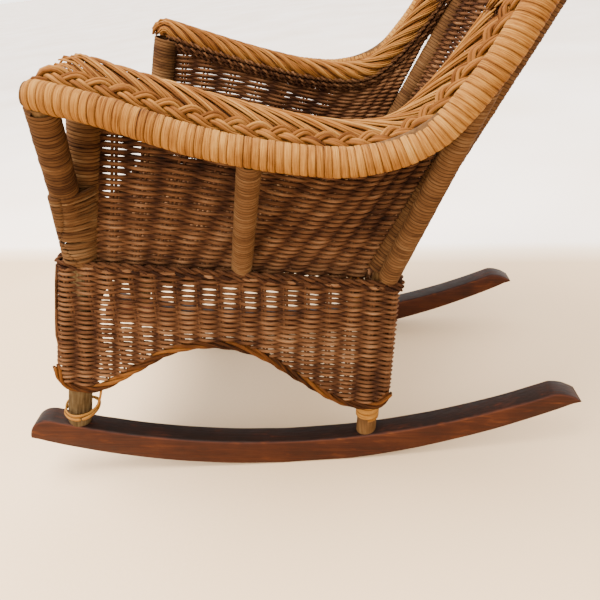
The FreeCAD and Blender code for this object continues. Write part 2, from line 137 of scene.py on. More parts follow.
def unit(v):
    v = np.asarray(v, float)
    return v / np.maximum(np.linalg.norm(v, axis=-1, keepdims=True), 1e-12)


def smooth(points, per_span=16):
    """A Catmull-Rom curve through the points."""
    p = np.asarray(points, float)
    p = np.vstack([2 * p[0] - p[1], p, 2 * p[-1] - p[-2]])
    t = np.linspace(0, 1, per_span, endpoint=False)[:, None]
    spans = []
    for a, b, c, d in zip(p, p[1:], p[2:], p[3:]):
        bend = (2 * a - 5 * b + 4 * c - d) * t ** 2 + (3 * b - a - 3 * c + d) * t ** 3
        spans.append(0.5 * (2 * b + (c - a) * t + bend))
    return np.vstack(spans + [p[-2][None]])


def lengths(path):
    return np.concatenate([[0.0], np.cumsum(np.linalg.norm(np.diff(path, axis=0), axis=1))])


def at(where, known, values):
    """Rows of values, interpolated at where."""
    return np.stack([np.interp(where, known, values[:, k]) for k in range(values.shape[1])], axis=-1)


def joined(x, y, z):
    """Points from their coordinates, any of which may be one value for all."""
    return np.stack(np.broadcast_arrays(x, y, z), axis=-1).astype(float)


def evenly(path, step):
    """The path again, with points about a step apart."""
    path = np.asarray(path, float)
    run = lengths(path)
    return at(np.linspace(0, run[-1], max(2, int(run[-1] / step) + 1)), run, path)


def normals_along(path, first=None):
    """A normal at each point that never twists about the path."""
    tangent = unit(np.gradient(path, axis=0))
    if first is None:
        first = (0, 0, 1) if abs(tangent[0, 2]) < 0.8 else (1, 0, 0)
    normal = np.asarray(first, float)
    found = np.zeros_like(path)
    for i, t in enumerate(tangent):
        normal = unit(normal - t * (normal @ t))
        found[i] = normal
    return found


def both_sides(points):
    return list(points) + [(-x, y, z) for x, y, z in reversed(points[:-1])]


def runs(mask, least=4):
    """Index ranges where the mask stays true."""
    edges = np.flatnonzero(np.diff(np.concatenate([[0], mask.astype(int), [0]])))
    return [slice(a, b) for a, b in zip(edges[::2], edges[1::2]) if b - a >= least]


# --- the band: rim, plait and roll run along it together ---
class Band:
    """The band along the arms and round the back, by distance from the front of the left arm.

    At both ends it goes on over a quarter turn, down over the front of the arm."""

    PER_SPAN = 24
    END_RADIUS = 5.0

    def __init__(self):
        rim = smooth(both_sides(RIM), self.PER_SPAN)
        roll = smooth(both_sides(ROLL), self.PER_SPAN)
        out = unit(rim - roll)
        along = unit(np.gradient(roll, axis=0))
        up = unit(np.cross(out, along))
        width = np.linalg.norm(rim - roll, axis=1)
        run = lengths(0.5 * (rim + roll))
        self.stations = run[::self.PER_SPAN]
        self.total = run[-1]
        self.rim = rim
        self.turn = self.END_RADIUS * math.pi / 2
        head = self.over_end(roll[0], out[0], along[0], up[0])
        tail = self.over_end(roll[-1], out[-1], -along[-1], up[-1])
        steps = np.linspace(0, self.turn, len(head[0]) + 1)[1:]
        self.run = np.concatenate([-steps[::-1], run, run[-1] + steps])
        self.base = np.vstack([head[0][::-1], roll, tail[0]])
        self.out = np.vstack([head[1][::-1], out, tail[1]])
        self.up = np.vstack([head[2][::-1], up, tail[2]])
        self.width = np.concatenate([np.full(len(steps), width[0]), width, np.full(len(steps), width[-1])])

    def over_end(self, base, out, along, up):
        turns = np.linspace(0, math.pi / 2, 9)[1:, None]
        ahead = -along
        drop = up * (1 - np.cos(turns))
        points = base + self.END_RADIUS * (ahead * (np.sin(turns) - 0.35 * (1 - np.cos(turns))) - drop)
        facing = up * np.cos(turns) + ahead * np.sin(turns)
        return points, np.repeat(out[None], len(turns), axis=0), facing

    def point(self, distance, out, up):
        base = at(distance, self.run, self.base)
        aside = np.asarray(out, float)[..., None] * at(distance, self.run, self.out)
        return base + aside + np.asarray(up, float)[..., None] * self.up_at(distance)

    def up_at(self, distance):
        return unit(at(distance, self.run, self.up))

    def width_at(self, distance):
        return np.interp(distance, self.run, self.width)


BAND = Band()
ARM_JOINT = BAND.stations[ARM_END]
BACK_JOINT = BAND.stations[BACK_END]
SPANS = {
    "left_arm": (-BAND.turn, ARM_JOINT),
    "back": (ARM_JOINT, BACK_JOINT),
    "right_arm": (BACK_JOINT, BAND.total + BAND.turn),
}


# --- pieces ---
class Piece:
    """Rods and wound strips gathered into one mesh, in drawing-frame millimetres.

    Each point carries "grain", a place in the cane's own fibres, and "shade", how light
    its strand is, with painted shade and highlight added in places, for the materials to read."""

    WOUND_AROUND = 22     # points round each turn of a wound strip
    WOUND_ACROSS = 7    # and across its width

    def __init__(self, seed):
        self.random = np.random.default_rng(seed)
        self.points, self.quads, self.grain, self.shade = [], [], [], []
        self.count = 0

    def add(self, points, quads, grain, shade):
        self.points.append(points)
        self.quads.append(np.asarray(quads, int) + self.count)
        self.grain.append(grain)
        self.shade.append(shade)
        self.count += len(points)

    def rod(self, path, radius, normal=None, shade=None, flat=1.0, sides=6):
        """A rod along the path. Its thickness along the normal is multiplied by flat."""
        path = np.asarray(path, float)
        count = len(path)
        tangent = unit(np.gradient(path, axis=0))
        if normal is None:
            normal = normals_along(path)
        normal = np.broadcast_to(np.asarray(normal, float), path.shape)
        normal = unit(normal - tangent * np.sum(normal * tangent, axis=1, keepdims=True))
        side = np.cross(tangent, normal)
        radius = np.broadcast_to(np.asarray(radius, float), (count,)).copy()
        radius[[0, -1]] *= 0.6
        angle = np.arange(sides) * (2 * math.pi / sides)
        ring = normal[:, None] * (flat * np.cos(angle))[:, None] + side[:, None] * np.sin(angle)[:, None]
        points = (path[:, None] + ring * radius[:, None, None]).reshape(-1, 3)
        along = lengths(path) + self.random.uniform(0, 900)
        mean = radius.mean()
        across = np.tile(mean * np.cos(angle), count), np.tile(mean * np.sin(angle), count)
        grain = joined(np.repeat(along, sides), *across)
        if shade is None:
            shade = self.random.normal(0.5, 0.13)
        shade = np.repeat(np.broadcast_to(np.asarray(shade, float), (count,)), sides)
        self.add(points, self.tube_quads(count, sides), grain, shade)

    @staticmethod
    def tube_quads(count, sides):
        i = np.arange(count - 1)[:, None] * sides
        j = np.arange(sides)[None]
        k = (j + 1) % sides
        walls = np.stack([i + j, i + k, i + k + sides, i + j + sides], axis=-1).reshape(-1, 4)
        fan = np.array([(0, m, m + 1, m + 2) for m in range(1, sides - 1, 2)])
        return np.vstack([walls, fan[:, ::-1], fan + (count - 1) * sides])

    def wound(self, path, radius, pitch, rise=0.5, loose=0.12, shade=0.5, vary=0.08, painted_groove_shade=0.3, missing=()):
        """A strip wound round a pole from end to end, each turn bulging between its grooves.

        loose is how unevenly the turns sit, vary how much their tones differ, and missing
        lists the stretches of turns, first and last, where the strip has come away."""
        around, across = self.WOUND_AROUND, self.WOUND_ACROSS
        path = evenly(path, 1.5)
        run = lengths(path)
        normal = normals_along(path)
        side = np.cross(unit(np.gradient(path, axis=0)), normal)
        turns = int(run[-1] / pitch)
        rows = turns * across
        row = np.arange(rows + 1)[:, None]
        share = np.arange(around)[None] / around
        turn = row // across + share
        lane = (row % across) / across
        known = np.arange(turns + 3)

        def uneven(middle, spread):
            return np.interp(turn, known, self.random.normal(middle, spread, len(known)))

        drift = np.cumsum(self.random.normal(0, 0.06, len(known))) * 0.3
        ease = np.interp(turn, known, drift)
        where = np.clip((row / across + share + ease) * (run[-1] / (turns + 1)), 0, run[-1])
        height = uneven(0, loose)
        crown = 1 - np.abs(2 * lane - 1) ** 7
        tilt = uneven(0, loose) * (lane - 0.5)
        gone = np.zeros_like(turn)
        for first, last in missing:
            gone = np.maximum(gone, ((turn >= first) & (turn < last)) * 1.0)
        lift = np.where(gone > 0, -0.9, rise * (crown - 1) + height + tilt)
        close = np.clip(np.minimum(where, run[-1] - where) / (0.7 * pitch), 0, 1)
        full = (radius + lift) * (0.55 + 0.45 * np.sqrt(close))
        angle = 2 * math.pi * share
        ring = at(where, run, normal) * np.cos(angle)[..., None]
        ring = ring + at(where, run, side) * np.sin(angle)[..., None]
        points = (at(where, run, path) + ring * full[..., None]).reshape(-1, 3)
        start = self.random.uniform(0, 900)
        grain = joined(turn * 2 * math.pi * radius + start, lane * pitch, height * 4).reshape(-1, 3)
        tone = uneven(shade, vary)
        # Painted shade: the lane at the start of each turn, in the groove between turns, is darker, and the
        # turns where the strip has come away are darker still, for the shade in the hole.
        tone = np.where(lane == 0, tone - painted_groove_shade, tone) - 0.4 * gone
        i, j = np.meshgrid(np.arange(rows), np.arange(around), indexing="ij")
        wrap = j + 1 == around
        near = np.where(wrap, (i + across) * around, i * around + j + 1)
        quads = np.stack([i * around + j, near, near + around, (i + 1) * around + j], axis=-1)
        whole = ~wrap | (i + 1 + across <= rows)
        self.add(points, quads[whole], grain, (tone + np.zeros_like(turn)).reshape(-1))

    def rope(self, path, normal, count, spread, radius, pitch, shade=None, phase=0.0, flat=1.0):
        """Rods laid round each other along the path."""
        run = lengths(path)
        tangent = unit(np.gradient(path, axis=0))
        normal = unit(np.broadcast_to(np.asarray(normal, float), path.shape))
        side = np.cross(tangent, normal)
        for k in range(count):
            angle = 2 * math.pi * (run / pitch + k / count) + phase
            swing = normal * (flat * np.cos(angle))[:, None] + side * np.sin(angle)[:, None]
            tone = self.random.normal(0.5, 0.1) if shade is None else shade + self.random.normal(0, 0.08)
            self.rod(path + spread * swing, radius, swing, tone)

    def weaver(self, line, facing, stake, signs, radius=REED_RADIUS, wave=WAVE, shade=None):
        """One row of the weave: it passes in front of and behind the stakes in turn."""
        first = np.floor(stake).astype(int)
        part = stake - first
        ease = part * part * (3 - 2 * part)
        swing = wave * (signs(first) * (1 - ease) + signs(first + 1) * ease)
        if shade is None:
            shade = self.random.normal(0.46, 0.05)
        # Painted shade and highlight: the row is darker where it crosses between the stakes and lighter
        # where it bulges out in front of and behind them.
        wear_and_painted_shade = shade + 0.3 * (np.abs(swing) / wave - 0.7)
        thick = radius * self.random.uniform(0.93, 1.06)
        self.rod(line + facing * swing[:, None], thick, facing, wear_and_painted_shade)

    def mirror(self):
        """Moves the piece to the other side of the chair."""
        self.points = [p * (-1, 1, 1) for p in self.points]
        self.quads = [q[:, ::-1] for q in self.quads]

    def make(self, name, slot, *nodes):
        points = place(np.vstack(self.points))
        quads = np.vstack(self.quads)
        mesh = bpy.data.meshes.new(name)
        mesh.vertices.add(len(points))
        mesh.vertices.foreach_set("co", points.astype(np.float32).ravel())
        mesh.loops.add(quads.size)
        mesh.loops.foreach_set("vertex_index", quads.astype(np.int32).ravel())
        mesh.polygons.add(len(quads))
        mesh.polygons.foreach_set("loop_start", (np.arange(len(quads)) * 4).astype(np.int32))
        mesh.polygons.foreach_set("use_smooth", np.ones(len(quads), bool))
        mesh.update(calc_edges=True)
        mesh.validate()
        grain = mesh.attributes.new("grain", "FLOAT_VECTOR", "POINT")
        grain.data.foreach_set("vector", np.vstack(self.grain).astype(np.float32).ravel())
        shade = mesh.attributes.new("shade", "FLOAT", "POINT")
        shade.data.foreach_set("value", np.concatenate(self.shade).astype(np.float32))
        piece = bpy.data.objects.new(name, mesh)
        bpy.context.scene.collection.objects.link(piece)
        piece.data.materials.append(MATERIALS[slot])
        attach(piece, "root")
        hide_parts(*nodes)
        return piece


# --- materials ---
def colour(red, green, blue):
    """Screen colour, 0 to 255, to the linear values that shaders take."""
    share = [c / 255 for c in (red, green, blue)]
    linear = [c / 12.92 if c <= 0.04045 else ((c + 0.055) / 1.055) ** 2.4 for c in share]
    return (*linear, 1.0)


class Shader:
    """A node tree with a few shorthands."""

    def __init__(self, name):
        self.material = bpy.data.materials.new(name)
        self.material.use_nodes = True
        self.nodes = self.material.node_tree.nodes
        self.link = self.material.node_tree.links.new
        self.surface = self.nodes["Principled BSDF"]

    def attribute(self, name):
        node = self.nodes.new("ShaderNodeAttribute")
        node.attribute_name = name
        return node

    def noise(self, vector, scale, detail=3.0, stretch=(1, 1, 1)):
        mapping = self.nodes.new("ShaderNodeMapping")
        mapping.inputs["Scale"].default_value = stretch
        self.link(vector, mapping.inputs["Vector"])
        node = self.nodes.new("ShaderNodeTexNoise")
        node.inputs["Scale"].default_value = scale
        node.inputs["Detail"].default_value = detail
        self.link(mapping.outputs["Vector"], node.inputs["Vector"])
        return node.outputs["Fac"]

    def math(self, operation, a, b):
        node = self.nodes.new("ShaderNodeMath")
        node.operation = operation
        for socket, value in zip(node.inputs, (a, b)):
            if isinstance(value, (int, float)):
                socket.default_value = value
            else:
                self.link(value, socket)
        return node.outputs[0]

    def ramp(self, value, stops):
        node = self.nodes.new("ShaderNodeValToRGB")
        while len(node.color_ramp.elements) < len(stops):
            node.color_ramp.elements.new(0.5)
        for element, (place_, tint) in zip(node.color_ramp.elements, stops):
            element.position = place_
            element.color = tint
        self.link(value, node.inputs["Fac"])
        return node.outputs["Color"]

    def bump(self, height, strength, distance):
        node = self.nodes.new("ShaderNodeBump")
        node.inputs["Strength"].default_value = strength
        node.inputs["Distance"].default_value = distance
        self.link(height, node.inputs["Height"])
        self.link(node.outputs["Normal"], self.surface.inputs["Normal"])

    def sway(self, value, noise, amount):
        """The value, raised or lowered by up to half the amount."""
        return self.math("ADD", value, self.math("MULTIPLY", self.math("SUBTRACT", noise, 0.5), amount))

    def tint(self, value, stops):
        self.link(self.ramp(value, stops), self.surface.inputs["Base Color"])

    def roughen(self, noise, span, least):
        rough = self.math("ADD", self.math("MULTIPLY", noise, span), least)
        self.link(rough, self.surface.inputs["Roughness"])

    def dull(self, specular):
        self.surface.inputs["Specular IOR Level"].default_value = specular


ROUGH_LEAST = 0.7
ROUGH_SPAN = 0.95 - ROUGH_LEAST
CANE_SPECULAR = 0.05    # old cane has hardly any shine


def cane_material(name, stops, fibre=0.34, patches=0.26, thread=1.9, bump=0.35):
    """Reed or cane: fibres along each strand, strands of differing tone with the painted shade and highlight
    their points carry, and aged patches.
    """
    shader = Shader(name)
    grain = shader.attribute("grain").outputs["Vector"]
    tone = shader.attribute("shade").outputs["Fac"]
    spot = shader.nodes.new("ShaderNodeTexCoord").outputs["Object"]
    fine = shader.noise(grain, 1.0, 4.0, (0.09, thread, 1.9))
    mottle = shader.noise(grain, 0.35, 2.0, (0.5, 0.8, 0.8))
    aged = shader.noise(spot, 26.0, 3.0)
    value = shader.sway(tone, fine, fibre * 2)
    value = shader.sway(value, mottle, 0.3)
    value = shader.sway(value, aged, patches * 2)
    shader.tint(value, stops)
    shader.roughen(fine, ROUGH_SPAN, ROUGH_LEAST)
    shader.dull(CANE_SPECULAR)
    shader.bump(fine, bump, 0.0004)
    return shader.material


def wood_material():
    """Aged rocker wood: grain along the rocker, a darker top with the chair's painted shadow in its middle,
    scuffs and lighter edges.
    """
    shader = Shader("rocker_wood")
    grain = shader.attribute("grain").outputs["Vector"]
    tone = shader.attribute("shade").outputs["Fac"]
    fibre = shader.noise(grain, 0.9, 5.0, (0.03, 0.9, 0.9))
    figure = shader.noise(grain, 0.12, 3.0, (0.12, 1.0, 1.0))
    scuffs = shader.noise(grain, 0.35, 6.0, (0.25, 1.0, 1.0))
    blotch = shader.noise(grain, 0.045, 3.0)
    value = shader.sway(tone, fibre, 0.45)
    value = shader.sway(value, figure, 0.35)
    value = shader.sway(value, blotch, 0.5)
    wear_and_painted_shade = shader.math("MULTIPLY", shader.math("MAXIMUM", shader.math("SUBTRACT", scuffs, 0.58), 0.0), 1.6)
    value = shader.math("ADD", value, wear_and_painted_shade)
    stops = [
        (0.0, colour(8, 3, 1)), (0.3, colour(24, 8, 2)), (0.55, colour(48, 18, 4)),
        (0.8, colour(66, 30, 8)), (1.0, colour(86, 48, 18)),
    ]
    shader.tint(value, stops)
    shader.dull(0.12)
    shader.roughen(scuffs, 0.4, 0.4)
    shader.bump(fibre, 0.3, 0.0006)
    return shader.material


def steel_material():
    """Old nail heads: dull steel with rust mottling."""
    shader = Shader("nail_steel")
    spot = shader.nodes.new("ShaderNodeTexCoord").outputs["Object"]
    rust = shader.noise(spot, 900.0, 4.0)
    stops = [(0.35, colour(44, 32, 26)), (0.6, colour(80, 74, 70))]
    shader.tint(rust, stops)
    shader.roughen(rust, 0.4, 0.3)
    shader.surface.inputs["Metallic"].default_value = 0.85
    shader.bump(rust, 0.4, 0.0002)
    return shader.material


def plain_cane_material():
    """Bare cane on CAD poles, which carry no strand attributes: fibres from the place alone."""
    shader = Shader("plain_cane")
    spot = shader.nodes.new("ShaderNodeTexCoord").outputs["Object"]
    fibre = shader.noise(spot, 700.0, 4.0, (1, 1, 0.08))
    aged = shader.noise(spot, 40.0, 3.0)
    value = shader.math("ADD", shader.math("MULTIPLY", fibre, 0.6), shader.math("MULTIPLY", aged, 0.5))
    stops = [(0.3, colour(40, 24, 10)), (0.55, colour(72, 48, 24)), (0.8, colour(96, 70, 40))]
    shader.tint(value, stops)
    shader.dull(CANE_SPECULAR)
    shader.roughen(fibre, 0.3, 0.6)
    shader.bump(fibre, 0.3, 0.0003)
    return shader.material


def ramp_stops(*tints):
    places = np.linspace(0.0, 1.0, len(tints))
    return [(float(p), colour(*tint)) for p, tint in zip(places, tints)]


MATERIALS = {
    "brown_reed": cane_material(
        "brown_reed", ramp_stops((10, 5, 3), (42, 22, 11), (74, 46, 26), (106, 74, 48), (130, 104, 80))
    ),
    "tan_reed": cane_material(
        "tan_reed", ramp_stops((20, 8, 3), (65, 34, 10), (102, 62, 24), (126, 86, 40), (145, 114, 66))
    ),
    "pale_cane": cane_material(
        "pale_cane", ramp_stops((22, 8, 3), (75, 40, 10), (112, 72, 28), (134, 94, 42), (146, 112, 60)),
        fibre=0.6, patches=0.3, thread=3.4, bump=0.8,
    ),
    "brown_cane": cane_material(
        "brown_cane", ramp_stops((12, 5, 2), (46, 26, 11), (76, 50, 26), (96, 72, 46), (110, 94, 72))
    ),
    "bare_cane": cane_material(
        "bare_cane", ramp_stops((16, 9, 4), (46, 32, 15), (68, 52, 30), (80, 66, 45), (90, 80, 60)),
        fibre=0.6, patches=0.3,
    ),
    "rocker_wood": wood_material(),
    "nail_steel": steel_material(),
}
PLAIN_CANE = plain_cane_material()


# --- rockers ---
def arc_height(y, a, b, c, above):
    """Height at y of the arc through three (y, z) points, on its upper or lower side."""
    (ay, az), (by, bz), (cy, cz) = a, b, c
    d = 2 * (ay * (bz - cz) + by * (cz - az) + cy * (az - bz))
    aa, bb, cc = ay * ay + az * az, by * by + bz * bz, cy * cy + cz * cz
    oy = (aa * (bz - cz) + bb * (cz - az) + cc * (az - bz)) / d
    oz = (aa * (cy - by) + bb * (ay - cy) + cc * (by - ay)) / d
    rise = np.sqrt(np.maximum((ay - oy) ** 2 + (az - oz) ** 2 - (y - oy) ** 2, 0))
    return oz + rise if above else oz - rise


def on_flat(behind):
    depth = ROCKER_CURVE * math.cos(FLAT_AHEAD / ROCKER_CURVE)
    y = ROCKER_CURVE_Y + depth * math.sin(LEAN_BACK) + behind * math.cos(LEAN_BACK)
    return y, ROCKER_CURVE - depth * math.cos(LEAN_BACK) + behind * math.sin(LEAN_BACK)


def circle_under(y):
    return ROCKER_CURVE - np.sqrt(ROCKER_CURVE ** 2 - (y - ROCKER_CURVE_Y) ** 2)


def rocker_profile():
    """Lower and upper edge heights along the rocker, with the worn flat and round ends."""
    spread = 0.5 - 0.5 * np.cos(np.linspace(0, math.pi, 150))
    y = ROCKER_FRONT + (ROCKER_REAR - ROCKER_FRONT) * spread
    y[[0, -1]] += (0.15, -0.15)
    (start_y, start_z), (end_y, end_z) = on_flat(-FLAT_AHEAD), on_flat(FLAT_BEHIND)
    low = circle_under(y)
    flat = (y > start_y) & (y < end_y)
    low[flat] = start_z + (y[flat] - start_y) * (end_z - start_z) / (end_y - start_y)
    tip = (ROCKER_REAR, float(circle_under(ROCKER_REAR)))
    behind = y >= end_y
    low[behind] = arc_height(y[behind], (end_y, end_z), (112, float(circle_under(112.0))), tip, False)
    high = arc_height(y, (162, 66.6), (-30, 20.4), (-163, 35.6), False)
    nose, tail = y < -163, y > 162
    front_low = (ROCKER_FRONT, float(circle_under(ROCKER_FRONT)))
    high[nose] = arc_height(y[nose], (-163, 35.6), (-175.8, 30.5), front_low, True)
    high[tail] = arc_height(y[tail], tip, (173.5, 65.2), (162, 66.6), True)
    return y, low, np.maximum(high, low + 0.4)


def rocker_piece(seed):
    """A bar of wood lofted along the profile, with eased edges and small knocks."""
    piece = Piece(seed)
    y, low, high = rocker_profile()
    half = ROCKER_THICKNESS / 2
    ease = np.minimum(1.7, 0.32 * (high - low))
    corner = np.radians([0, 30, 60, 90])
    rings, tones = [], []
    knocks = smooth(piece.random.normal(0, 0.22, (40, 4)), 8)
    knock_at = np.linspace(0, 1, len(knocks))
    for row, (yy, lo, hi, e) in enumerate(zip(y, low, high, ease)):
        ring, tone = [], []
        share = row / (len(y) - 1)
        for c, (sx, sz) in enumerate(((1, 1), (-1, 1), (-1, -1), (1, -1))):
            knock = float(np.interp(share, knock_at, knocks[:, c]))
            e_here = e * (1 + 0.35 * knock)
            cx, cz = sx * (half - e_here), (hi - e_here if sz > 0 else lo + e_here)
            sweep = corner if sx * sz > 0 else corner[::-1]
            for angle in sweep:
                ring.append((cx + sx * e_here * math.cos(angle), yy, cz + sz * e_here * math.sin(angle)))
                edge = math.sin(2 * angle)
                # The top is darker than the sides and darkest in its middle, a painted shadow of the chair
                # above, and lighter towards the ends; the eased edges are lighter.
                top = 0.20 + 0.16 * abs(2 * share - 0.9) ** 2
                face = top if sz * math.sin(angle) > 0.8 else 0.55
                tone.append(face + 0.16 * edge)
        rings.append(ring)
        tones.append(tone)
    points = np.array(rings)
    sides = points.shape[1]
    flatted = points.reshape(-1, 3)
    grain = joined(flatted[:, 1] + 37.0 * seed, flatted[:, 0], flatted[:, 2])
    quads = Piece.tube_quads(len(y), sides)
    piece.add(flatted + (ROCKER_CENTRE_X, 0, 0), quads[:, ::-1], grain, np.array(tones).reshape(-1))
    return piece


# --- posts, poles and their windings ---
def front_leg_piece(seed):
    """The bare round leg, with splits along it and its end set in the rocker."""
    piece = Piece(seed)
    axis = unit(FRONT_POST_HEAD - FRONT_POST_FOOT)
    path = evenly([FRONT_POST_FOOT - axis * 15, FRONT_POST_HEAD], 3.0)
    swell = 7.4 + 0.12 * np.sin(lengths(path) / 9.0)
    piece.rod(path, swell, (1, 0, 0), 0.5, sides=24)
    return piece


def front_post_reeds(seed, upper):
    """The inner post's winding, and the turns lower down that take in the outer post too."""
    piece = Piece(seed)
    top = upper[-1] + 6.5 * unit(upper[-1] - upper[0])
    piece.wound(np.vstack([upper, top[None]]), 8.6, 2.0, rise=0.4, loose=0.1, shade=0.46)
    low, high = np.array(OUTER_POST, float)
    rise = FRONT_POST_HEAD - FRONT_POST_FOOT
    for level in np.arange(*POSTS_MERGE, POSTS_MERGE_PITCH):
        inner = FRONT_POST_FOOT + rise * (level - FRONT_POST_FOOT[2]) / rise[2]
        outer = low + (high - low) * max(0.0, (level - low[2]) / (high[2] - low[2]))
        outer[2] = level
        reach = unit(outer - inner)
        across = unit(np.cross((0, 0, 1), reach))
        half = 0.5 * np.linalg.norm(outer - inner) + 8.4
        turn = np.linspace(0.4, 0.4 + 2 * math.pi, 40)
        ring = half * np.cos(turn)[:, None] * reach + 8.7 * np.sin(turn)[:, None] * across
        ring[:, 2] += piece.random.normal(0, 0.25) + 0.5 * np.sin(turn)
        piece.rod(0.5 * (inner + outer) + ring, 1.05, (0, 0, 1), piece.random.normal(0.44, 0.07))
    return piece


def wound_piece(seed, path, **how):
    piece = Piece(seed)
    piece.wound(path, **how)
    return piece


def back_post_path():
    bow_foot = BAND.point(BAND.stations[8], 0, -15.0)
    next_up = BAND.point(BAND.stations[9], 0, -15.0)
    joint = 0.5 * (bow_foot + next_up)
    bend = np.array(BACK_BEND)
    return smooth([REAR_LEG + (0, 0, 148), bend, 0.5 * (bend + bow_foot), bow_foot, joint], 12)


def rim_path(first, last):
    stations = np.arange(len(BAND.rim)) / BAND.PER_SPAN
    inside = (stations >= first) & (stations <= last)
    return BAND.rim[inside]


# --- the braid, the plait and what lies under them ---
ROLL_OUT = 2.0    # middle of the braid, outwards from the roll line
ROLL_HALF_WIDTH = 8.8
ROLL_HALF_HEIGHT = 4.9
SCALLOP = 11.6    # from one hump of the braid to the next
BUNDLE = 6    # fine rods side by side in a hump
BUNDLE_ROD = 0.6
BRAID_LAY = 8 * SCALLOP    # how far a bundle travels in one turn round the braid
DOME = 3.4    # how much a bundle's middle stands above its edges


def braid(piece, start, end):
    """Bundles of fine rods, each rising out of the inner edge and arching over to the outer one."""
    turns = np.linspace(1.28, -0.28, 26) * math.pi
    ellipse = np.stack([ROLL_HALF_WIDTH * np.cos(turns), ROLL_HALF_HEIGHT * np.sin(turns)], axis=-1)
    share = lengths(ellipse)
    share = share / share[-1]
    advance = BRAID_LAY * 0.78
    first = math.floor((start - advance) / SCALLOP)
    last = math.ceil(end / SCALLOP)
    for bundle in range(first, last + 1):
        tone = piece.random.normal(0.5, 0.05)
        for k in range(BUNDLE):
            place_in = (k - (BUNDLE - 1) / 2) / (BUNDLE / 2)
            begin = bundle * SCALLOP + k * SCALLOP / BUNDLE + piece.random.normal(0, 0.12)
            distance = begin + advance * share
            arch = DOME * (1 - place_in ** 2) - 1.0
            out = ROLL_OUT + (ROLL_HALF_WIDTH + arch * 0.8) * np.cos(turns)
            up = (ROLL_HALF_HEIGHT + arch) * np.sin(turns)
            for part in runs((distance >= start) & (distance <= end), 3):
                path = BAND.point(distance[part], out[part], up[part])
                # Painted shade and highlight: each bundle's outer rods are darker, for the shade in the
                # crevices between humps, and its middle rods lighter.
                low = 0.42 * (1 - place_in ** 2) - 0.3
                shade = piece.random.normal(tone + low, 0.09)
                piece.rod(path, BUNDLE_ROD, BAND.up_at(distance[part]), shade)


PLAIT_OUT = 19.3
PLAIT_UP = 3.4
PLAIT_TILT = math.radians(15)  # its outer side lies lower
PLAIT_SWING = 3.9
PLAIT_LIFT = 1.5
PLAIT_LAY = 31.0
PLAIT_REED = 1.1


def plait(piece, start, end):
    """Three pairs of reeds plaited flat, on the band's outer shoulder."""
    distance = np.linspace(start, end, int((end - start) / 1.7))
    for strand in range(3):
        phase = 2 * math.pi * (distance / PLAIT_LAY + strand / 3)
        heading = PLAIT_SWING * np.cos(phase) * 2 * math.pi / PLAIT_LAY
        tilt = np.sqrt(1 + heading ** 2)
        for twin in (-PLAIT_REED, PLAIT_REED):
            aside = PLAIT_SWING * np.sin(phase) + twin / tilt
            lift = PLAIT_UP + PLAIT_LIFT * np.sin(2 * phase)
            shifted = np.clip(distance - twin * heading / tilt, BAND.run[0], BAND.run[-1])
            out = PLAIT_OUT + aside * math.cos(PLAIT_TILT) + lift * math.sin(PLAIT_TILT)
            up = lift * math.cos(PLAIT_TILT) - aside * math.sin(PLAIT_TILT)
            shade = piece.random.normal(0.46, 0.08)
            piece.rod(BAND.point(shifted, out, up), PLAIT_REED, BAND.up_at(distance), shade)


def underlay(piece, start, end):
    """Rows of reed along the band, over cross stakes, and two twisted rows inside the edge."""
    distance = np.linspace(start, end, int((end - start) / 2.0))
    stake = distance / SCALLOP
    width = BAND.width_at(distance)
    for row in range(11):
        share = row / 10
        out = -2.5 + share * (width - 3.5)
        line = BAND.point(distance, out, -7.0)
        shade = piece.random.normal(0.36, 0.1)
        piece.weaver(line, BAND.up_at(distance), stake, alternate(row), 1.1, 1.2, shade)
    first, last = math.ceil(start / SCALLOP), math.floor(end / SCALLOP)
    for k in range(first, last + 1):
        spot = np.full(8, k * SCALLOP)
        for twin in (-1.1, 1.1):
            out = np.linspace(-2.5, BAND.width_at(spot[0]) - 1.5, 8)
            piece.rod(BAND.point(spot + twin, out, -7.0), 1.0, None, 0.3)
    for out, up, tone in ((-6.6, -4.4, 0.55), (-5.4, -8.0, 0.45), (-3.6, -10.6, 0.4)):
        path = BAND.point(distance, out, up)
        piece.rope(path, BAND.up_at(distance), 2, 1.0, 1.05, 9.0, tone, phase=out)


def alternate(row):
    """Over one stake, under the next, shifted by one on each row."""
    return lambda stake: np.where((stake + row) % 2 == 0, 1.0, -1.0)


# --- woven walls ---
def wall_curves():
    """Foot line and head line of the left side weave, front to back."""
    share = np.linspace(0, 1, 136)
    x = WALL_FRONT[0] + (WALL_REAR[0] - WALL_FRONT[0]) * share
    y = WALL_FRONT[1] + (WALL_REAR[1] - WALL_FRONT[1]) * share
    foot = joined(x - 1.2, y, seat_top(y) - 4.0)
    distance = np.interp(share * ARM_END, np.arange(len(BAND.stations)), BAND.stations)
    head = BAND.point(distance, 0.0, -7.0) - (1.6, 0, 0)
    return foot, head


def side_weave_piece(seed):
    """The wall under an arm: rows level with the seat, cut off by the arm above."""
    piece = Piece(seed)
    foot, head = wall_curves()
    height = np.linalg.norm(head - foot, axis=1)
    run = lengths(foot)
    stake = run / STAKE_PITCH
    facing = unit(np.cross(np.gradient(foot + head, axis=0), head - foot))
    rows = int(height.max() / ROW_PITCH) + 2
    for row in range(rows):
        level = (row + 0.4) * ROW_PITCH + 0.25 * np.sin(run / 23 + row * 0.9)
        up = level / height
        line = foot + (head - foot) * np.clip(up, 0, 1)[:, None]
        for part in runs(up < 1.0, 5):
            piece.weaver(line[part], facing[part], stake[part], alternate(row))
    for k in range(int(stake[-1]) + 1):
        for twin in (-TWIN, TWIN):
            spot = np.array([k * STAKE_PITCH + twin])
            if spot[0] >= 0:
                path = evenly(np.vstack([at(spot, run, foot), at(spot, run, head)]), 6.0)
                piece.rod(path, STAKE_RADIUS, (1, 0, 0), 0.40)
    return piece


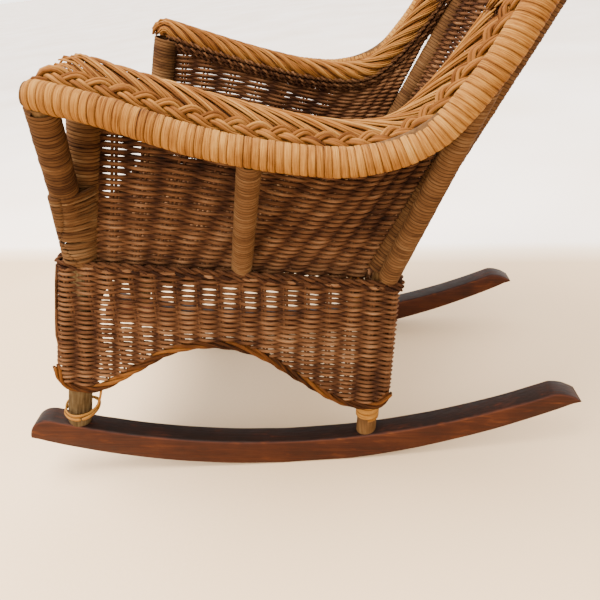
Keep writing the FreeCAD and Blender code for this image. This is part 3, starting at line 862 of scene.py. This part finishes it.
def back_ends():
    """Left-hand end of every row of the back, by height up the back, and its bulge."""
    foot = np.array([*BACK_FOOT, seat_top(BACK_FOOT[1]) - 3.0])
    head = BAND.point(BAND.stations[8], -3, -9.5)
    shares = (0, 0.25, 0.5, 0.75)
    ends = [foot + (head - foot) * share for share in shares]
    bulges = [19 * min(1.0, 0.15 + 1.4 * share) for share in shares]
    for station, bulge in ((8, 19), (9, 17), (10, 12), (11, 6)):
        ends.append(BAND.point(BAND.stations[station], -3, -9.5))
        bulges.append(bulge)
    return smooth([(*end, bulge) for end, bulge in zip(ends, bulges)], 12)


LOZENGE_PLACE = 0.62   # its middle, as a share of the way up the back
LOZENGE_ROWS = 50.0    # from its middle to its upper and lower corners
LOZENGE_STAKES = 4.8   # and to its side corners
LOZENGE_HEART = 0.45   # the share of it that stays plain, in the middle
BLOCK_ROWS = 11


def back_signs(row, rows):
    """Plain weave, with a lozenge of raised blocks in the middle of the back."""
    plain = alternate(row)
    near = abs(row - rows * LOZENGE_PLACE) / LOZENGE_ROWS
    block = row // BLOCK_ROWS

    def signs(stake):
        raised = np.where((block + stake) % 2 == 0, 1.0, -1.0)
        reach = near + np.abs(stake) / LOZENGE_STAKES
        return np.where((reach < 1.0) & (reach > LOZENGE_HEART), raised, plain(stake))

    return signs


def back_weave_piece(seed):
    piece = Piece(seed)
    curve = back_ends()
    run = lengths(curve[:, :3])
    rows = int(run[-1] / ROW_PITCH)
    for row in range(rows):
        x, y, z, bulge = at(np.array([(row + 0.5) * ROW_PITCH]), run, curve)[0]
        share = np.linspace(1, -1, int(2 * x / STEP))
        line = joined(x * share, y + 1.6 + bulge * (1 - share ** 2), z)
        ahead = joined(-2 * bulge * share / x, -1, 0)
        piece.weaver(line, unit(ahead), line[:, 0] / STAKE_PITCH, back_signs(row, rows))
    for k in range(-6, 7):
        for twin in (-TWIN, TWIN):
            x = k * STAKE_PITCH + twin
            inside = np.abs(x) < curve[:, 0] - 1.0
            ends = curve[inside]
            if len(ends) > 3:
                share = x / ends[:, 0]
                path = joined(x, ends[:, 1] + 1.6 + ends[:, 3] * (1 - share ** 2), ends[:, 2])
                piece.rod(evenly(path, 5.0), STAKE_RADIUS, (0, -1, 0), 0.40)
    return piece


def seat_weave_piece(seed):
    piece = Piece(seed)
    rows = int(SEAT_LENGTH / ROW_PITCH)
    for row in range(rows):
        y = SEAT_FRONT + (row + 0.5) * ROW_PITCH
        half = SEAT_HALF_WIDTH - 4.0 * row / rows
        if y < SEAT_WAIST:
            half -= 9.0
        x = np.linspace(half, -half, int(half * 2 / 1.6))
        line = joined(x, y, seat_top(y) - 2.4)
        piece.weaver(line, np.array([0, SEAT_SLOPE, 1.0]), x / STAKE_PITCH, alternate(row), 1.3, 1.1)
    for k in range(-6, 7):
        for twin in (-TWIN, TWIN):
            y = np.linspace(-125 if abs(k) < 6 else -105, 44.5, 30)
            path = joined(k * STAKE_PITCH + twin, y, seat_top(y) - 2.4)
            piece.rod(path, STAKE_RADIUS, (0, 0, 1), 0.4)
    return piece


def arch_curve(points):
    curve = smooth(points, 14)
    return curve[:, 0], curve[:, 1]


CORNER = 3.5    # how far the skirts' rows turn round the corners at their ends


def skirt_rows(piece, across, arch, top, lay_line, lay_stake, phase):
    """Rows from the seat level down to the arch, with the stake pairs they are woven on.

    across is the range along the wall, top(a) the upper edge, lay_line(a, z) gives points and
    facings for a row, lay_stake(a, z) for a stake, and phase moves the stakes along the wall."""
    a = np.linspace(across[0], across[1], int((across[1] - across[0]) / STEP))
    edge = np.interp(a, arch[0], arch[1])
    rows = int((top(a).max() - arch[1].min()) / ROW_PITCH) + 1
    for row in range(rows):
        z = top(a) - (row + 0.6) * ROW_PITCH + 0.2 * np.sin(a / 17 + row)
        line, facing = lay_line(a, z)
        corner = np.clip(1 - np.minimum(a - across[0], across[1] - a) / CORNER, 0, 1) ** 2
        line = line - facing * (corner * CORNER * 0.8)[:, None]
        stake = (a + phase) / STAKE_PITCH
        for part in runs(z > edge + 1.6, 4):
            piece.weaver(line[part], facing[part], stake[part], alternate(row), SKIRT_REED_RADIUS)
    first = math.ceil((across[0] + phase + 2) / STAKE_PITCH)
    last = math.floor((across[1] + phase - 2) / STAKE_PITCH)
    for k in range(first, last + 1):
        for twin in (-TWIN, TWIN):
            spot = k * STAKE_PITCH - phase + twin
            low = float(np.interp(spot, arch[0], arch[1]))
            z = np.linspace(low, float(top(np.array([spot]))[0]) - 0.5, 10)
            line, facing = lay_stake(np.full(len(z), spot), z)
            piece.rod(line, STAKE_RADIUS, facing, 0.42)


def side_skirt_piece(seed):
    piece = Piece(seed)

    def front_edge(z):
        return SKIRT_FRONT + (z - SIDE_ARCH[0][1]) * SKIRT_FRONT_SLOPE

    def wall(y, z):
        points = joined(SKIRT_MIDDLE_X, y, z)
        return points, np.broadcast_to((1.0, 0, 0), points.shape)

    def lay(y, z):
        return wall(np.maximum(y, front_edge(z)), z)

    def lay_rows(y, z):
        front = front_edge(z)
        share = (y - SKIRT_FRONT) / (SKIRT_REAR - SKIRT_FRONT)
        return wall(front + (SKIRT_REAR - front) * share, z)

    arch = arch_curve(SIDE_ARCH)
    across = (SKIRT_FRONT, SKIRT_REAR)
    skirt_rows(piece, across, arch, lambda y: seat_top(y) - 2.0, lay_rows, lay, 5.0)
    return piece


def front_skirt_piece(seed):
    piece = Piece(seed)

    def lay(x, z):
        y = FRONT_FOOT_Y + 1.6 + (z - FRONT_FOOT_Z) * FRONT_LEAN
        points = joined(x, y, z)
        return points, np.broadcast_to(unit((0, -1, FRONT_LEAN)), points.shape)

    top = seat_top(-132.0) - 2.0
    across = (-SKIRT_HALF_WIDTH, SKIRT_HALF_WIDTH)
    skirt_rows(piece, across, arch_curve(FRONT_ARCH), lambda x: top + 0 * x, lay, lay, 5.75)
    return piece


def rear_skirt_piece(seed):
    piece = Piece(seed)

    def lay(x, z):
        points = joined(x, REAR_SKIRT_Y, z)
        return points, np.broadcast_to((0, 1.0, 0), points.shape)

    top = seat_top(58.0) - 2.0
    across = (-SKIRT_HALF_WIDTH, SKIRT_HALF_WIDTH)
    skirt_rows(piece, across, arch_curve(REAR_ARCH), lambda x: top + 0 * x, lay, lay, 5.75)
    return piece


def border_piece(seed, path, normal):
    """The skirt's lower edge: four reeds twisted together."""
    piece = Piece(seed)
    path = evenly(smooth(path, 14), 1.6)
    piece.rope(path, normal, 4, 1.7, 1.25, 48.0, 0.2)
    return piece


def seat_twists_piece(seed):
    """Dark twisted reeds round the seat's edge, one row above another."""
    piece = Piece(seed)
    x, front, rear = 88.8, -131.5, 60.2
    corners = [(x, front), (x, rear), (-x, rear), (-x, front), (x, front)]
    for (ax, ay), (bx, by) in zip(corners, corners[1:]):
        for drop in (0.0, 2.9):
            path = evenly([(ax, ay, seat_top(ay) - drop), (bx, by, seat_top(by) - drop)], 1.5)
            piece.rope(path, (0, 0, 1), 2, 0.95, 1.1, 13.0, 0.30, phase=drop)
    return piece


def loose_ring_piece(seed):
    """Two loose turns of split cane round the front foot of the left leg, with a tail."""
    piece = Piece(seed)
    centre = FRONT_POST_FOOT + (0, 1.5, -0.8)
    for lift, tilt, radius, start in ((0.0, 0.10, 11.4, 0.3), (2.4, -0.08, 10.6, 2.2)):
        turn = np.linspace(start, start + 2 * math.pi * 0.99, 60)
        wobble = radius + 0.5 * np.sin(3 * turn + start)
        x, y = wobble * np.cos(turn), wobble * np.sin(turn)
        ring = joined(x, y, lift + tilt * y)
        piece.rod(centre + ring, 1.25, ring * (1, 1, 0), 0.62, flat=0.45)
    tail = smooth([FRONT_POST_FOOT + p for p in ((6, 9, 1), (3, 13, 4), (4, 17, 13), (5, 20.5, 25))], 8)
    piece.rod(tail, 0.9, (1, 0, 0), 0.55, flat=0.6)
    return piece


# --- put the chair together ---
def make_band():
    for seed, (part, (start, end)) in enumerate(SPANS.items()):
        roll, edge, under = Piece(100 + seed), Piece(110 + seed), Piece(120 + seed)
        braid(roll, start, end)
        plait(edge, start, end)
        underlay(under, max(start, 0.0), min(end, BAND.total))
        roll.make(f"{part}_braid", "tan_reed", f"{part}_roll")
        edge.make(f"{part}_plaited_edge", "tan_reed", f"{part}_plait")
        under.make(f"{part}_curled_weave", "brown_reed", f"{part}_underlay")


BARE_TURNS = (16.2, 17.0)     # where the strip has come away, in turns up the back rim from the left


def make_rim():
    last = len(BAND.stations) - 1
    joint = ARM_END + 0.5
    arm = {"radius": 6.7, "pitch": 3.5, "rise": 0.32, "loose": 0.10, "shade": 0.58}
    arch = {
        "radius": 6.8, "pitch": 3.7, "rise": 0.6, "loose": 0.24, "shade": 0.42, "vary": 0.13, "painted_groove_shade": 0.42,
        "missing": (BARE_TURNS,),
    }
    cuts = (0, joint, last - joint, last)
    for seed, (part, start, end, how) in enumerate(zip(SPANS, cuts, cuts[1:], (arm, arch, arm)), 130):
        piece = wound_piece(seed, rim_path(start, end), **how)
        piece.make(f"{part}_rim_cane", "pale_cane", f"{part}_rim_binding")


def posts(seed):
    """The left side's legs, posts and their windings, each with its name, slot and node."""
    upper = [FRONT_POST_FOOT + (FRONT_POST_HEAD - FRONT_POST_FOOT) * 0.54, FRONT_POST_HEAD]
    cuff = [REAR_LEG + (0, 0, 38), REAR_LEG + (0, 0, 76)]
    fine = {"pitch": 1.9, "loose": 0.07, "vary": 0.05}
    outer = wound_piece(seed + 2, OUTER_POST, radius=7.3, rise=0.22, shade=0.4, **fine)
    stile = wound_piece(seed + 3, back_post_path(), radius=7.4, rise=0.25, shade=0.45, **fine)
    rear_cuff = wound_piece(seed + 4, cuff, radius=7.5, pitch=4.6, shade=0.6)
    return [
        (front_leg_piece(seed), "front_leg", "bare_cane", "front_post"),
        (front_post_reeds(seed + 1, upper), "front_post_reed", "brown_cane", "front_post_binding"),
        (outer, "outer_post_reed", "brown_cane", "outer_post_binding"),
        (stile, "back_stile_reed", "brown_cane", "back_post_binding"),
        (rear_cuff, "rear_leg_cane", "pale_cane", "rear_leg_cuff"),
    ]


def make_props():
    """The windings of all four props, which share one node."""
    piece, other = Piece(180), Piece(181)
    for side in (piece, other):
        for path in (MIDDLE_PROP, REAR_PROP):
            side.wound(path, 5.8, 1.8, rise=0.2, loose=0.06, shade=0.52, vary=0.05)
    other.mirror()
    for field in ("points", "grain", "shade"):
        getattr(piece, field).extend(getattr(other, field))
    piece.quads.extend(q + piece.count for q in other.quads)
    piece.make("prop_reeds", "brown_cane", "prop_bindings")


def walls(seed):
    """The left side's weave, skirt, border and rocker, each with its name, slot and node."""
    arch = [(SKIRT_MIDDLE_X + 0.6, y, z) for y, z in SIDE_ARCH]
    return [
        (side_weave_piece(seed), "side_wicker", "brown_reed", "side_weave"),
        (side_skirt_piece(seed + 1), "skirt_wicker", "brown_reed", "side_skirt"),
        (border_piece(seed + 2, arch, (1, 0, 0)), "skirt_edge", "tan_reed", "side_skirt_border"),
        (rocker_piece(seed + 3), "rocker_wood", "rocker_wood", "rocker"),
    ]


def make_sides():
    for index, side in enumerate(("left", "right")):
        for piece, name, slot, node in posts(140 + 10 * index) + walls(200 + 10 * index):
            if side == "right":
                piece.mirror()
            piece.make(f"{side}_{name}", slot, f"{side}_{node}")


def make_chair():
    make_band()
    make_rim()
    make_sides()
    make_props()
    back_weave_piece(230).make("back_wicker", "brown_reed", "back_weave")
    seat_weave_piece(231).make("seat_wicker", "brown_reed", "seat_weave")
    front_skirt_piece(232).make("front_skirt_wicker", "brown_reed", "front_skirt")
    rear_skirt_piece(233).make("rear_skirt_wicker", "brown_reed", "rear_skirt")
    front = [(x, FRONT_FOOT_Y + 1.6 + (z - FRONT_FOOT_Z) * FRONT_LEAN, z) for x, z in FRONT_ARCH]
    border_piece(234, front, (0, -1, 0)).make("front_skirt_edge", "tan_reed", "front_skirt_border")
    rear = [(x, REAR_SKIRT_Y, z) for x, z in REAR_ARCH]
    border_piece(235, rear, (0, 1, 0)).make("rear_skirt_edge", "tan_reed", "rear_skirt_border")
    seat_twists_piece(236).make("seat_edge_reeds", "brown_reed", "seat_edge_twists")
    loose_ring_piece(237).make("loose_cane", "pale_cane", "loose_cane_ring")


def finish_cad_nodes():
    """The CAD parts that stay in sight: poles and rails of bare cane, and the nails."""
    for name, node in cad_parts.items():
        if node.hide_render:
            continue
        steel = name.endswith("nails")
        node.data.materials.clear()
        node.data.materials.append(MATERIALS["nail_steel"] if steel else PLAIN_CANE)


# --- the setting ---
CAMERA = (370.95, 11.8, 300.9)
CAMERA_PITCH = math.radians(30.61)
CAMERA_YAW = math.radians(-1.706)
CAMERA_LENS = 34.68
BACKDROP_RISE = math.radians(3.66)   # how far above the camera's axis the floor's tone changes


def camera_axes():
    """Right, up and backward directions of the camera, leaned with the chair."""
    cp, sp = math.cos(CAMERA_PITCH), math.sin(CAMERA_PITCH)
    cy, sy = math.cos(CAMERA_YAW), math.sin(CAMERA_YAW)
    ahead = turned((-cp * cy, cp * sy, -sp))
    right = turned((sy, cy, 0.0))
    return right, np.cross(right, ahead), -ahead


def facing_matrix(right, up, back, spot):
    rows = np.stack([right, up, back], axis=1)
    return Matrix([(*row, s) for row, s in zip(rows, spot)] + [(0, 0, 0, 1)])


def make_camera():
    right, up, back = camera_axes()
    camera = bpy.data.objects.new("camera", bpy.data.cameras.new("camera"))
    bpy.context.scene.collection.objects.link(camera)
    spot = place(CAMERA)
    camera.matrix_world = facing_matrix(right, up, back, spot)
    camera.data.lens = CAMERA_LENS
    camera.data.sensor_width = 36.0
    camera.data.clip_start = 0.01
    bpy.context.scene.camera = camera


def soft_light(name, spot, target, size, power, tint):
    lamp = bpy.data.lights.new(name, "AREA")
    lamp.shape = "DISK"
    lamp.size = size
    lamp.energy = power
    lamp.color = tint
    holder = bpy.data.objects.new(name, lamp)
    bpy.context.scene.collection.objects.link(holder)
    back = unit(np.subtract(spot, target))
    right = unit(np.cross((0, 0, 1), back))
    up = np.cross(back, right)
    holder.matrix_world = facing_matrix(right, up, back, spot)


def backdrop_line():
    """A floor point on the line where the floor's tone changes, and the direction across it.

    The camera sees that line level, a little above the middle of its view."""
    right, up, back = camera_axes()
    spot = place(CAMERA)
    sight = up * math.tan(BACKDROP_RISE) - back
    point = spot - sight * (spot[2] / sight[2])
    along = unit(right * sight[2] - sight * right[2])
    away = np.cross((0, 0, 1), along)
    return point, away * np.sign(away @ (point - spot))


def floor_material():
    """Pale floor: cream near the chair, lighter and cooler beyond the backdrop line."""
    shader = Shader("pale_floor")
    spot = shader.nodes.new("ShaderNodeTexCoord").outputs["Object"]
    point, away = backdrop_line()
    across = shader.nodes.new("ShaderNodeVectorMath")
    across.operation = "DOT_PRODUCT"
    across.inputs[1].default_value = away
    shader.link(spot, across.inputs[0])
    mottle = shader.noise(spot, 420.0, 4.0)
    soft = shader.noise(spot, 3.0, 2.0)
    past = shader.math("SUBTRACT", across.outputs["Value"], float(np.dot(point, away)))
    far = shader.math("MINIMUM", shader.math("MAXIMUM", shader.math("MULTIPLY", past, 16.0), 0.0), 0.8)
    value = shader.sway(far, soft, 0.5)
    value = shader.sway(value, mottle, 0.12)
    shader.tint(value, ramp_stops((198, 170, 134), (224, 202, 176), (253, 245, 240)))
    shader.roughen(mottle, 0.2, 0.6)
    shader.bump(mottle, 0.08, 0.0006)
    return shader.material


FLOOR_REACH = 60.0    # metres, so that its edge lies close to the horizon


def make_stage():
    mesh = bpy.data.meshes.new("floor")
    corners = [(x * FLOOR_REACH, y * FLOOR_REACH, 0) for x, y in ((-1, -1), (1, -1), (1, 1), (-1, 1))]
    mesh.from_pydata(corners, [], [(0, 1, 2, 3)])
    floor = bpy.data.objects.new("floor", mesh)
    bpy.context.scene.collection.objects.link(floor)
    mesh.materials.append(floor_material())
    world = bpy.data.worlds.new("studio")
    bpy.context.scene.world = world
    world.use_nodes = True
    background = world.node_tree.nodes["Background"]
    background.inputs["Color"].default_value = (1.0, 0.96, 0.92, 1.0)
    background.inputs["Strength"].default_value = 3.9
    soft_light("overhead", (0.15, -0.35, 1.25), (0, 0, 0.15), 0.9, 48.0, (1.0, 0.95, 0.87))
    soft_light("front_fill", (1.1, -0.5, 0.7), (0, 0, 0.15), 0.7, 14.0, (1.0, 0.95, 0.88))


make_camera()
make_chair()
finish_cad_nodes()
make_stage()
